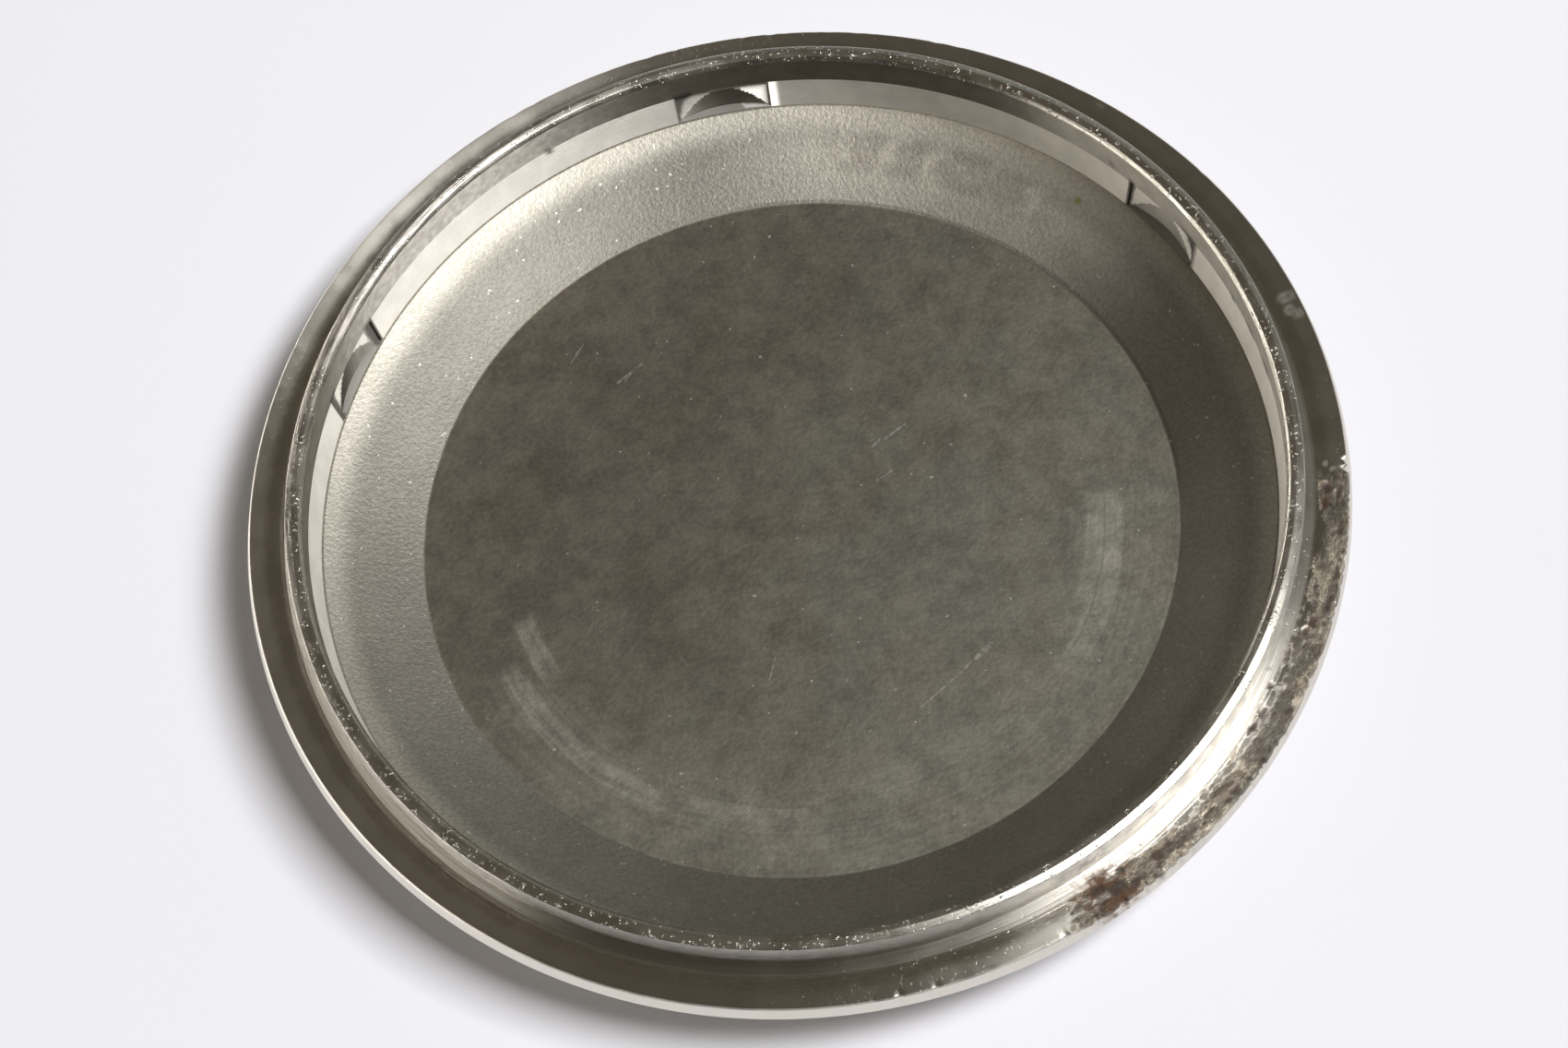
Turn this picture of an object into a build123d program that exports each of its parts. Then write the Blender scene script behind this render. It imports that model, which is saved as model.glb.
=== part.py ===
from build123d import *
import os
from math import radians, tan

# Press-fit back of a round wristwatch case, turned from one piece of steel.
# It lies on its outer face with the snap ring up. The origin is the centre of
# the outer face and +Z is the turning axis, towards the ring. Millimetres.

# Rim and seat: the flat flange that closes against the watch case.
rim_radius = 16.10          # widest circle of the part, at the rim's lower edge
rim_height = 0.50           # height of the rim's edge
rim_draft = 0.10            # how much smaller the rim's upper edge is
rim_edge_break = 0.05       # bevel on the rim's two edges
seat_height = 2.90          # seat above the outer face
seat_width = 1.26           # from the rim's upper edge to the snap ring's land

# Line turned into the seat beside the ring.
groove_offset = 0.22        # from the snap land outwards to the groove's middle
groove_width = 0.08
groove_depth = 0.02

# Snap ring, with heights measured up from the seat.
ring_wall = 0.53            # from the snap land to the bore
ring_height = 1.21          # up to the crest
crest_offset = 0.28         # from the bore outwards to the crest
lip_offset = 0.11           # from the bore outwards to the inner lip
lip_drop = 0.04             # crest to the inner lip
lip_bevel_drop = 0.16       # crest to the lower end of the lip's bevel
shoulder_drop = 0.08        # crest to the outer shoulder
shoulder_inset = 0.03       # snap land to the outer shoulder
snap_land_height = 0.58     # lower end of the land that grips the case
snap_land_length = 0.24
undercut_depth = 0.12       # behind the land
undercut_height = 0.19      # height of the undercut's deepest line

# Inner wall and dish.
wall_break_height = 0.04    # above the seat, where the bore turns into the cone
corner_depth = 1.00         # below the seat, down to the corner of wall and dish
corner_inset = 0.20         # bore to the corner
corner_groove_width = 0.06  # tool line turned into the corner
corner_groove_depth = 0.04
dish_slope = 22.8           # degrees, cone between the corner and the flat floor
shell_thickness = 0.70      # under the flat floor

# Outside.
bevel_slope = 25.3          # degrees, from the rim down to the outer face
face_edge_radius = 0.60     # round between the bevel and the outer face

# Notches round the foot of the inner wall.
notch_count = 6
notch_start = 29.0          # degrees, first notch
notch_width = 2.84
notch_recess = 0.09         # flat step of the notch
notch_mill_radius = 3.90    # upright cutter that scooped the middle
notch_mill_reach = 0.07     # how far the scoop passes the bore's radius

# Places worked out from the sizes above.
rim_top_radius = rim_radius - rim_draft
rim_low_z = seat_height - rim_height
land_radius = rim_top_radius - seat_width
bore_radius = land_radius - ring_wall
root_radius = land_radius - undercut_depth
groove_radius = land_radius + groove_offset
crest_radius = bore_radius + crest_offset
crest_z = seat_height + ring_height
lip_radius = bore_radius + lip_offset
lip_z = crest_z - lip_drop
lip_bevel_z = crest_z - lip_bevel_drop
shoulder_z = crest_z - shoulder_drop
wall_break_z = seat_height + wall_break_height
corner_radius = bore_radius - corner_inset
corner_z = seat_height - corner_depth
dish_fall = tan(radians(dish_slope))
groove_inner_radius = corner_radius - corner_groove_width
groove_inner_z = corner_z - corner_groove_width * dish_fall
floor_radius = corner_radius - (corner_z - shell_thickness) / dish_fall
face_radius = rim_radius - rim_low_z / tan(radians(bevel_slope))


def turned_body():
    """The whole back as one revolved outline, without its notches."""
    outline = [
        (0, 0),
        (face_radius, 0),
        (rim_radius - rim_edge_break, rim_low_z),
        (rim_radius, rim_low_z + rim_edge_break),
        (rim_top_radius, seat_height - rim_edge_break),
        (rim_top_radius - rim_edge_break, seat_height),
        (groove_radius + groove_width / 2, seat_height),
        (groove_radius, seat_height - groove_depth),
        (groove_radius - groove_width / 2, seat_height),
        (root_radius, seat_height),
        (root_radius, seat_height + undercut_height),
        (land_radius, seat_height + snap_land_height),
        (land_radius, seat_height + snap_land_height + snap_land_length),
        (land_radius - shoulder_inset, shoulder_z),
        (crest_radius, crest_z),
        (lip_radius, lip_z),
        (bore_radius, lip_bevel_z),
        (bore_radius, wall_break_z),
        (corner_radius, corner_z),
        (corner_radius, corner_z - corner_groove_depth),
        (groove_inner_radius, corner_z - corner_groove_depth),
        (groove_inner_radius, groove_inner_z),
        (floor_radius, shell_thickness),
        (0, shell_thickness),
    ]
    section = Plane.XZ * make_face(Polyline(*outline, close=True))
    body = revolve(section, axis=Axis.Z)
    face_edge = body.edges().group_by(Axis.Z)[0]
    return fillet(face_edge, face_edge_radius)


def notch_cutter():
    """One notch at angle 0: a stepped recess with a scoop in its middle."""
    height = wall_break_z - corner_z
    step = Pos(0, 0, corner_z) * extrude(
        Plane.XY * Pos(corner_radius, 0) * Rectangle(2 * ring_wall, notch_width), height)
    reach = Pos(0, 0, corner_z) * Cone(
        corner_radius + notch_recess,
        bore_radius + notch_recess,
        height,
        align=(Align.CENTER, Align.CENTER, Align.MIN),
    )
    mill_centre = bore_radius + notch_mill_reach - notch_mill_radius
    scoop = Pos(mill_centre, 0, corner_z) * Cylinder(
        notch_mill_radius, height, align=(Align.CENTER, Align.CENTER, Align.MIN))
    return (step & reach) + (step & scoop)


def case_back():
    """The finished back."""
    body = turned_body()
    cutter = notch_cutter()
    for index in range(notch_count):
        angle = notch_start + index * 360 / notch_count
        body -= Rot(0, 0, angle) * cutter
    return body


os.makedirs("parts", exist_ok=True)
back = case_back()
back.label = "case_back"
export_step(back, "parts/case_back.step")
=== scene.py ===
from math import asin, cos, degrees, radians, sin, tan

import bmesh
import bpy
import numpy as np
from mathutils import Matrix, Vector


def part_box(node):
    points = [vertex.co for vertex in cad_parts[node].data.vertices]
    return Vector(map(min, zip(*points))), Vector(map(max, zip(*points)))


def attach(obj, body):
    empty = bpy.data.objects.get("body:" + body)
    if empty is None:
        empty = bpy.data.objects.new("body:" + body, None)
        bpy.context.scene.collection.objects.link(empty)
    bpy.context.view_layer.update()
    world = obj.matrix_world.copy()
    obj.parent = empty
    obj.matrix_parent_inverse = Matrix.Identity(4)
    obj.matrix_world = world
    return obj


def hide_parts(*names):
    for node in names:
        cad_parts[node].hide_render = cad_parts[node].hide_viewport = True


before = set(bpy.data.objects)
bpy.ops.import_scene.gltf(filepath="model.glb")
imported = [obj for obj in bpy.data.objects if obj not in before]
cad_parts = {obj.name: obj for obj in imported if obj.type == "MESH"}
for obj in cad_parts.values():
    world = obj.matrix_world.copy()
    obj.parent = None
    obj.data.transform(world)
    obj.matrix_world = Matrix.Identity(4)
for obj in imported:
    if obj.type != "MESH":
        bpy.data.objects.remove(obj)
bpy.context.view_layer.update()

# The back of a press-fit watch case, lying on its outer face with the snap ring up.
# Lengths are in millimetres and angles in degrees until the mesh is made; azimuths run
# anticlockwise from +X seen from above. The outline repeats the CAD part's sizes.

MM = 0.001
LOW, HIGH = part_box("case_back")

# Rim and seat
rim_radius = min(HIGH.x, HIGH.y, -LOW.x, -LOW.y) / MM
crest_z = HIGH.z / MM
rim_top_radius = 16.00
rim_low_z = 2.40
seat_z = 2.90
rim_edge_break = 0.05

# Snap ring
land_radius = 14.74
bore_radius = 14.21
root_radius = 14.62
crest_radius = 14.49
lip_radius = 14.32
lip_z = 4.07
lip_bevel_z = 3.95
shoulder_z = 4.03
shoulder_radius = 14.71
land_low_z = 3.48
land_high_z = 3.72
root_z = 3.09

# Line turned into the seat
groove_radius = 14.96
groove_half_width = 0.04
groove_depth = 0.02

# Inner wall and dish
wall_break_z = 2.94
corner_radius = 14.01
corner_z = 1.90
corner_groove_width = 0.06
corner_groove_depth = 0.04
dish_slope = 22.8
floor_z = 0.70

# Outside
bevel_slope = 25.3
face_edge_radius = 0.60

# Notches at the foot of the inner wall
notch_count = 6
notch_start = 29
notch_azimuths = [notch_start + 360 // notch_count * index for index in range(notch_count)]
notch_width = 2.84
notch_recess = 0.09
notch_mill_radius = 3.90
notch_mill_reach = 0.07

# Places worked out from the sizes above
dish_fall = tan(radians(dish_slope))
groove_inner_radius = corner_radius - corner_groove_width
groove_inner_z = corner_z - corner_groove_width * dish_fall
floor_radius = corner_radius - (corner_z - floor_z) / dish_fall
face_radius = rim_radius - rim_low_z / tan(radians(bevel_slope))
notch_half_angle = degrees(asin(notch_width / 2 / ((corner_radius + bore_radius) / 2)))

# Grid of the mesh
column_step = 0.80          # degrees between columns
fine_column_step = 0.24     # the same at the corrosion and the notches
corroded_columns = (286.0, 352.0)
notch_margin = 0.6          # degrees of fine columns beside a notch
side_gap = 0.08             # degrees between the two columns at a notch's side
side_clearance = 0.12       # degrees kept free of other columns beside those two
sharp_step = 0.004          # short run that keeps a corner of the outline sharp
longest_round = 0.45        # most of a run that a round at one end may take
sharp_angle = 38.0          # edges steeper than this are drawn sharp
fine_zones = [corroded_columns] + [
    (middle - notch_half_angle - notch_margin, middle + notch_half_angle + notch_margin)
    for middle in notch_azimuths]

# Surfaces of the back, in the order of their materials
FLOOR, DISH, FOOT, SCOOP, BORE, RING, LAND, SEAT, RIM, OUTSIDE = range(10)


# ---- outline

def arc_between(before, corner, after, radius, steps):
    """Points of a round that replaces a corner of the outline, where the runs have room."""
    before, corner, after = (np.array(point, float) for point in (before, corner, after))
    to_before = before - corner
    to_after = after - corner
    length_before = np.linalg.norm(to_before)
    length_after = np.linalg.norm(to_after)
    to_before = to_before / length_before
    to_after = to_after / length_after
    half = np.arccos(np.clip(to_before @ to_after, -1, 1)) / 2
    longest = longest_round * min(length_before, length_after)
    reach = min(radius / np.tan(half), longest)
    radius = reach * np.tan(half)
    middle = to_before + to_after
    centre = corner + middle / np.linalg.norm(middle) * radius / np.sin(half)
    start = corner + to_before * reach - centre
    end = corner + to_after * reach - centre
    turn = np.arccos(np.clip(start @ end / radius ** 2, -1, 1))
    points = []
    for share in np.linspace(0, 1, steps + 1):
        weight_start = np.sin((1 - share) * turn) / np.sin(turn)
        weight_end = np.sin(share * turn) / np.sin(turn)
        points.append(centre + weight_start * start + weight_end * end)
    return points


def outline_corners():
    """The section from the middle of the floor over the ring and round to the outer face.

    Each corner has its radius, height, round, steps of the round, rows along the run to
    the next corner, and the surface of that run.
    """
    groove_z = corner_z - corner_groove_depth
    return [
        (0.0, floor_z, 0, 0, 4, FLOOR),
        (floor_radius, floor_z, 0.16, 3, 4, DISH),
        (groove_inner_radius, groove_inner_z, 0, 0, 1, DISH),
        (groove_inner_radius + sharp_step, groove_z, 0, 0, 1, DISH),
        (corner_radius - sharp_step, groove_z, 0, 0, 1, DISH),
        (corner_radius, corner_z - sharp_step, 0, 0, 1, FOOT),
        (corner_radius, corner_z, 0, 0, 12, FOOT),
        (bore_radius - 0.001, wall_break_z - sharp_step, 0, 0, 1, FOOT),
        (bore_radius, wall_break_z, 0, 0, 4, BORE),
        (bore_radius, lip_bevel_z, 0.02, 1, 1, RING),
        (lip_radius, lip_z, 0.05, 2, 2, RING),
        (crest_radius, crest_z, 0.06, 2, 2, RING),
        (shoulder_radius, shoulder_z, 0.03, 2, 1, LAND),
        (land_radius, land_high_z, 0.04, 1, 1, LAND),
        (land_radius, land_low_z, 0.03, 1, 2, LAND),
        (root_radius, root_z, 0.04, 1, 1, LAND),
        (root_radius, seat_z, 0.03, 3, 2, SEAT),
        (groove_radius - groove_half_width, seat_z, 0.008, 2, 1, SEAT),
        (groove_radius, seat_z - groove_depth, 0.01, 2, 1, SEAT),
        (groove_radius + groove_half_width, seat_z, 0.008, 2, 15, SEAT),
        (rim_top_radius - rim_edge_break, seat_z, 0.03, 2, 1, RIM),
        (rim_top_radius, seat_z - rim_edge_break, 0.03, 2, 4, RIM),
        (rim_radius, rim_low_z + rim_edge_break, 0.02, 2, 1, RIM),
        (rim_radius - rim_edge_break, rim_low_z, 0.03, 2, 3, OUTSIDE),
        (face_radius, 0.0, face_edge_radius / 2.2, 5, 3, OUTSIDE),
        (0.0, 0.0, 0, 0, 0, OUTSIDE),
    ]


def outline_rows():
    """Radius, height and surface of every row of the grid, rounds and runs included."""
    corners = outline_corners()
    rows = []
    leaving = None
    for index, (radius, height, rounding, steps, run_rows, surface) in enumerate(corners):
        if rounding:
            before, after = corners[index - 1][:2], corners[index + 1][:2]
            points = arc_between(before, (radius, height), after, rounding, steps)
        else:
            points = [np.array((radius, height), float)]
        if leaving is not None:
            start, count, run_surface = leaving
            for step in range(1, count):
                rows.append((*(start + (points[0] - start) * step / count), run_surface))
        earlier = corners[index - 1][5] if index else surface
        for number, point in enumerate(points):
            last = number == len(points) - 1
            rows.append((*point, surface if last else earlier))
        leaving = (points[-1], run_rows, surface)
    return rows


# ---- noise and wear

def cell_noise(azimuth, radius, cells_round, cell_length, seed, rows=64):
    """Smooth noise from 0 to 1 over azimuth (closed) and radius."""
    draw = np.random.default_rng(seed)
    lattice = draw.random((cells_round, rows))
    u = azimuth / 360 * cells_round
    v = radius / cell_length
    i, j = np.floor(u).astype(int), np.floor(v).astype(int)
    s, t = u - i, v - j
    s, t = s * s * (3 - 2 * s), t * t * (3 - 2 * t)
    i0, i1 = i % cells_round, (i + 1) % cells_round
    j0, j1 = j % rows, (j + 1) % rows
    low = lattice[i0, j0] * (1 - s) + lattice[i1, j0] * s
    high = lattice[i0, j1] * (1 - s) + lattice[i1, j1] * s
    return low * (1 - t) + high * t


def layered_noise(azimuth, radius, cells_round, cell_length, seed, layers=3):
    """Noise with finer layers added at half the strength each, from 0 to 1."""
    total, weight, share = 0, 0, 1.0
    for layer in range(layers):
        total = total + share * cell_noise(
            azimuth, radius, cells_round * 2 ** layer, cell_length / 2 ** layer, seed + layer)
        weight += share
        share /= 2
    return total / weight


def smooth(value, low, high):
    """0 below low, 1 above high, smooth between."""
    share = np.clip((value - low) / (high - low), 0, 1)
    return share * share * (3 - 2 * share)


def turn_from(azimuth, middle):
    """Degrees from the middle azimuth, from -180 to 180."""
    return (azimuth - middle + 180) % 360 - 180


def zone(azimuth, start, end, soft):
    """1 between two azimuths, fading over soft degrees outside them."""
    middle, half = (start + end) / 2, (end - start) / 2
    return 1 - smooth(np.abs(turn_from(azimuth, middle)), half, half + soft)


# Corrosion of the seat
corroded_azimuths = (290.5, 349.0)
corroded_fade = 1.6                 # degrees
corroded_from = (15.02, 15.20)      # radii over which it sets in beside the ring
corroded_most = (15.05, 15.85)      # radii over which it grows towards the rim
eaten_depth = 0.012
pit_share = 0.45                    # how much of a pit's depth the mesh has

# Small pits strewn at random over the corroded stretch
strewn_pits = 230
strewn_azimuths = (289, 351)
strewn_out_to = 15.98
strewn_spread = 0.42
strewn_sizes = (0.035, 0.10)
strewn_depth = 0.14                 # share of the pit's size
strewn_rust = 0.2
strewn_darkness = (0.2, 0.7)

# Pits and stains with a place of their own: azimuth, radius, size along the rim,
# size across it, depth, how rusty it is and how dark.
placed_pits = [
    (294.3, 15.48, 0.85, 0.50, 0.020, 1.0, 0.35),
    (292.4, 15.30, 0.30, 0.22, 0.020, 1.0, 0.45),
    (295.2, 15.55, 0.42, 0.24, 0.100, 1.0, 1.00),
    (293.5, 15.30, 0.26, 0.18, 0.080, 1.0, 0.97),
    (297.4, 15.72, 0.30, 0.14, 0.080, 0.9, 0.97),
    (293.0, 15.62, 0.22, 0.18, 0.060, 0.8, 0.79),
    (296.4, 15.20, 0.16, 0.12, 0.050, 0.9, 0.70),
    (300.6, 15.52, 0.20, 0.14, 0.050, 0.5, 0.70),
    (303.5, 15.70, 0.26, 0.12, 0.050, 0.4, 0.70),
    (307.5, 15.66, 0.24, 0.10, 0.050, 0.3, 0.70),
    (311.5, 15.80, 0.30, 0.08, 0.040, 0.3, 0.61),
    (318.4, 15.18, 0.14, 0.08, 0.050, 0.4, 0.70),
    (320.4, 15.22, 0.16, 0.09, 0.060, 0.4, 0.79),
    (323.5, 15.01, 0.08, 0.06, 0.050, 0.2, 0.70),
    (330.6, 15.38, 0.20, 0.12, 0.080, 0.5, 0.97),
    (332.2, 15.50, 0.16, 0.10, 0.060, 0.5, 0.79),
    (334.6, 15.78, 0.24, 0.08, 0.050, 0.3, 0.70),
    (338.0, 15.84, 0.20, 0.08, 0.050, 0.3, 0.70),
    (343.0, 15.76, 0.14, 0.10, 0.060, 0.3, 0.79),
    (346.4, 15.28, 0.18, 0.12, 0.090, 0.9, 1.00),
    (348.2, 15.32, 0.16, 0.14, 0.090, 0.9, 1.00),
    (347.4, 15.62, 0.14, 0.10, 0.050, 0.4, 0.70),
    (350.2, 15.56, 0.10, 0.08, 0.040, 0.4, 0.61),
    (9.4, 15.72, 0.05, 0.14, 0.004, 0.6, 0.85),
    (10.4, 15.55, 0.04, 0.13, 0.004, 0.6, 0.85),
    (12.0, 15.62, 0.05, 0.16, 0.004, 0.6, 0.85),
    (11.4, 15.48, 0.04, 0.06, 0.004, 0.8, 0.85),
    (44.5, 15.80, 0.06, 0.08, 0.004, 0.3, 0.85),
]


def random_pits():
    """Small pits, more of them towards the rim, as in placed_pits."""
    draw = np.random.default_rng(41)
    pits = []
    for _ in range(strewn_pits):
        where = draw.uniform(*strewn_azimuths)
        out = strewn_out_to - abs(draw.normal(0, strewn_spread))
        size = draw.uniform(*strewn_sizes)
        long = size * draw.uniform(1, 1.8)
        rusty = draw.random() * strewn_rust
        darkness = draw.uniform(*strewn_darkness)
        pits.append((where, out, long, size, size * strewn_depth, rusty, darkness))
    return pits


def pit_fields(azimuth, radius):
    """Depth, darkness and rust from the placed pits and many small random ones."""
    pits = placed_pits + random_pits()
    depth = np.zeros_like(radius)
    dark = np.zeros_like(radius)
    rust = np.zeros_like(radius)
    wobble = layered_noise(azimuth, radius, 900, 0.16, 5) - 0.5
    for where, out, along, across, deep, rusty, darkness in pits:
        turn = turn_from(azimuth, where)
        near = np.abs(turn) < 4
        around = np.radians(turn[near]) * out / along
        over = (radius[near] - out) / across
        away = np.sqrt(around ** 2 + over ** 2) * (1 + 0.9 * wobble[near])
        inside = 1 - smooth(away, 0.55, 1.15)
        depth[near] = np.maximum(depth[near], inside * deep)
        dark[near] = np.maximum(dark[near], inside * darkness)
        rust[near] = np.maximum(rust[near], (1 - smooth(away, 0.7, 1.6)) * rusty)
    return depth, dark, rust


# Nicks in the rim's upper edge: from and to azimuth, how many, and the deepest.
nick_groups = [
    (0, 360, 60, 0.012),
    (58, 132, 46, 0.018),
    (268, 292, 26, 0.04),
    (288, 352, 110, 0.11),
]
nick_widths = (0.12, 0.55)          # degrees
nick_reach = 0.30                   # how far in from the edge a nick shows
nick_drop = 0.6                     # how far it goes down, as a share of how far in


def edge_nicks(azimuth):
    """How far the rim's upper edge is knocked in, by azimuth."""
    draw = np.random.default_rng(17)
    knocked = np.zeros_like(azimuth)
    for start, end, count, deepest in nick_groups:
        for _ in range(count):
            where = draw.uniform(start, end)
            wide = draw.uniform(*nick_widths)
            deep = deepest * draw.random() ** 2
            away = np.abs(turn_from(azimuth, where)) / wide
            knocked = np.maximum(knocked, deep * (1 - smooth(away, 0.3, 1.2)))
    return knocked


# ---- mesh

def column_azimuths():
    """Azimuths of the grid's columns: closer at pits and notches, doubled at their sides."""
    columns = []
    azimuth = 0.0
    while azimuth < 360 - fine_column_step / 2:
        columns.append(azimuth)
        fine = any(start <= azimuth <= end for start, end in fine_zones)
        azimuth += fine_column_step if fine else column_step
    columns = np.array(columns)
    sides = []
    for middle in notch_azimuths:
        for side in (-1, 1):
            edge = middle + side * notch_half_angle
            sides += [edge - side_gap / 2, edge + side_gap / 2]
    sides = np.array(sides)
    clear = np.abs(columns[:, None] - sides[None, :]).min(1) > side_clearance
    return np.sort(np.concatenate([columns[clear], sides]) % 360)


def notch_depth(azimuth, radius):
    """How far the notches push the inner wall outwards, and where the scoop cut it."""
    pushed = np.zeros_like(radius)
    scooped = np.zeros_like(radius)
    mill_centre = bore_radius + notch_mill_reach - notch_mill_radius
    for middle in notch_azimuths:
        turn = np.radians(turn_from(azimuth, middle))
        inside = np.abs(turn) < radians(notch_half_angle)
        across = np.where(inside, mill_centre * np.sin(turn), 0)
        scoop = mill_centre * np.cos(turn) + np.sqrt(notch_mill_radius ** 2 - across ** 2)
        scoop = scoop - radius
        pushed = np.where(inside, np.maximum(notch_recess, scoop), pushed)
        scooped = np.where(inside & (scoop > notch_recess), 1.0, scooped)
    return pushed, scooped


# Painted shade in the corners of the notches: notch azimuth, side, width at the top in mm, the
# share of that width left at the foot, and strength.
corner_shade = [
    (29, -1, 0.75, 0.10, 1.0),
    (29, 1, 0.16, 0.60, 0.9),
    (89, 1, 0.62, 0.10, 0.9),
    (149, -1, 0.40, 0.80, 1.0),
    (149, 1, 0.36, 0.80, 1.0),
]

# Painted shade over the whole scoop of one notch
shaded_scoop_azimuth = 149
scoop_shade = 0.72

ledge_dirt = 0.6                    # on the floor of the scoops
corner_shade_wander = 0.7                   # how uneven the edge of the painted corner shade is
corner_shade_rise = 0.10                    # how far it climbs above the wall's break
chip_azimuths = (82.4, 86.4)        # foot of the wall chipped and leaning back, so it shines

# Dirt spots on the inner wall: azimuth, height, half length, half height, strength.
wall_dirt = [
    (4.5, 2.93, 0.30, 0.03, 0.8),
    (9.5, 2.95, 0.26, 0.03, 0.7),
    (12.4, 3.16, 0.05, 0.08, 0.8),
    (14.2, 2.96, 0.14, 0.06, 0.9),
    (16.4, 3.00, 0.12, 0.03, 0.7),
    (37.8, 3.22, 0.09, 0.07, 0.6),
    (101.8, 2.98, 0.05, 0.07, 0.8),
    (111.6, 2.90, 0.06, 0.09, 0.9),
    (141.0, 2.97, 0.10, 0.03, 0.4),
]


def shade_and_dirt_on_wall(azimuth, height):
    """Strength of the painted shade in the notches' corners and of the dirt spots on the inner
    wall.
    """
    dirt_and_shade = np.zeros_like(azimuth)
    share = np.clip((height - corner_z) / (wall_break_z - corner_z), 0, 1)
    wobble = layered_noise(azimuth, height, 900, 0.20, 71) - 0.5
    for middle, side, width, foot_share, strength in corner_shade:
        # Painted shade in the notches' corners.
        edge = middle + side * notch_half_angle
        away = np.radians(turn_from(edge, azimuth)) * corner_radius * side
        reach = width * (foot_share + (1 - foot_share) * share ** 2.2)
        reach = reach * (1 + corner_shade_wander * wobble)
        within = (away > -0.08) & (height < wall_break_z + corner_shade_rise)
        corner_shaded = within * (1 - smooth(away, 0.6 * reach, 1.1 * reach))
        dirt_and_shade = np.maximum(dirt_and_shade, strength * corner_shaded)
    for middle, level, half_length, half_height, strength in wall_dirt:
        along = np.radians(turn_from(azimuth, middle)) * bore_radius / half_length
        above = (height - level) / half_height
        away = np.sqrt(along ** 2 + above ** 2) * (1 + 1.2 * wobble)
        dirt_and_shade = np.maximum(dirt_and_shade, strength * (1 - smooth(away, 0.5, 1.3)))
    return dirt_and_shade


def corrosion(azimuth, radius):
    """How eaten the seat is, from 0 to 1: most at the rim, in blotches that run along it."""
    blotch = layered_noise(azimuth, radius, 120, 0.26, 23, 4)
    edge = smooth(radius, *corroded_most)
    eaten = smooth(blotch + 0.42 * edge, 0.50, 0.86)
    stretch = zone(azimuth, *corroded_azimuths, corroded_fade)
    return eaten * stretch * smooth(radius, *corroded_from)


def notch_wear(azimuth, radius, height, base_radius, base_height):
    """Pushes the notches into the wall. Gives the dirt and painted shade, the chip and where
    scoops cut.
    """
    # The rows from the corner up to the wall's break are cut by the notches.
    cut = (base_height > corner_z - 1e-6) & (base_height < wall_break_z - 1e-6)
    cut &= base_radius < bore_radius
    scooped = np.zeros_like(radius)
    pushed, scooped[cut] = notch_depth(azimuth[cut], radius[cut])
    wall = (base_radius > corner_radius - 0.01) & (base_radius < bore_radius + 0.001)
    dirt_and_shade = np.zeros_like(radius)
    dirt_and_shade[wall] = shade_and_dirt_on_wall(azimuth[wall], height[wall])
    ledge = (np.abs(base_height - corner_z) < 0.006) & (base_radius > corner_radius - 0.001)
    dirt_and_shade = np.maximum(dirt_and_shade, ledge_dirt * (ledge[:, None] & (scooped.max(0) > 0)[None, :]))
    # Painted shade over the scoop of one notch.
    shaded_scoop = zone(azimuth, shaded_scoop_azimuth - 5, shaded_scoop_azimuth + 5, 1)
    dirt_and_shade = np.maximum(dirt_and_shade, scoop_shade * shaded_scoop * (scooped > 0))
    chip = zone(azimuth, *chip_azimuths, 0.5) * cut[:, None]
    radius[cut] += pushed
    return dirt_and_shade, chip, scooped


def seat_wear(azimuth, radius, height, base_radius, base_height):
    """Eats the pits and the corrosion into the seat. Gives how dark, rusty and eaten it is."""
    # The rows of the seat and of the rim's edge show wear; only the seat's own are lowered.
    top = (base_radius > root_radius + 0.15) & (base_height > rim_low_z + 0.02)
    top &= base_height < seat_z + 0.02
    depth, dark, rust = (field * top[:, None] for field in pit_fields(azimuth, radius))
    eaten = corrosion(azimuth, radius) * top[:, None]
    seat = (np.abs(base_height - seat_z) < 0.035) & (base_radius > groove_radius + 0.03)
    crust = layered_noise(azimuth, radius, 420, 0.09, 31, 2)
    height -= (pit_share * depth + eaten_depth * eaten * crust) * seat[:, None]
    return dark, rust, eaten * (base_height > seat_z - 0.06)[:, None]


def knock_edge(azimuth, radius, height, base_height):
    """Knocks the nicks into the rim's upper edge."""
    knocked = edge_nicks(azimuth)
    share = smooth(radius, rim_top_radius - nick_reach, rim_top_radius)
    share = share * (base_height > rim_low_z + 0.1)[:, None]
    share = share * smooth(height, rim_low_z, seat_z)
    radius -= knocked * share
    height -= nick_drop * knocked * share


def shaped_grid(rows, azimuths):
    """Radius and height of every grid point, with its masks, once notches and wear are in."""
    base_radius = np.array([row[0] for row in rows])
    base_height = np.array([row[1] for row in rows])
    radius = np.repeat(base_radius[:, None], len(azimuths), 1)
    height = np.repeat(base_height[:, None], len(azimuths), 1)
    azimuth = np.repeat(azimuths[None, :], len(rows), 0)
    dirt_and_shade, chip, scooped = notch_wear(azimuth, radius, height, base_radius, base_height)
    dark, rust, eaten = seat_wear(azimuth, radius, height, base_radius, base_height)
    knock_edge(azimuth, radius, height, base_height)
    masks = {"pit": dark, "rust": rust, "corroded": eaten, "dirt_and_shade": dirt_and_shade, "chip": chip}
    return radius, height, masks, scooped


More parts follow.
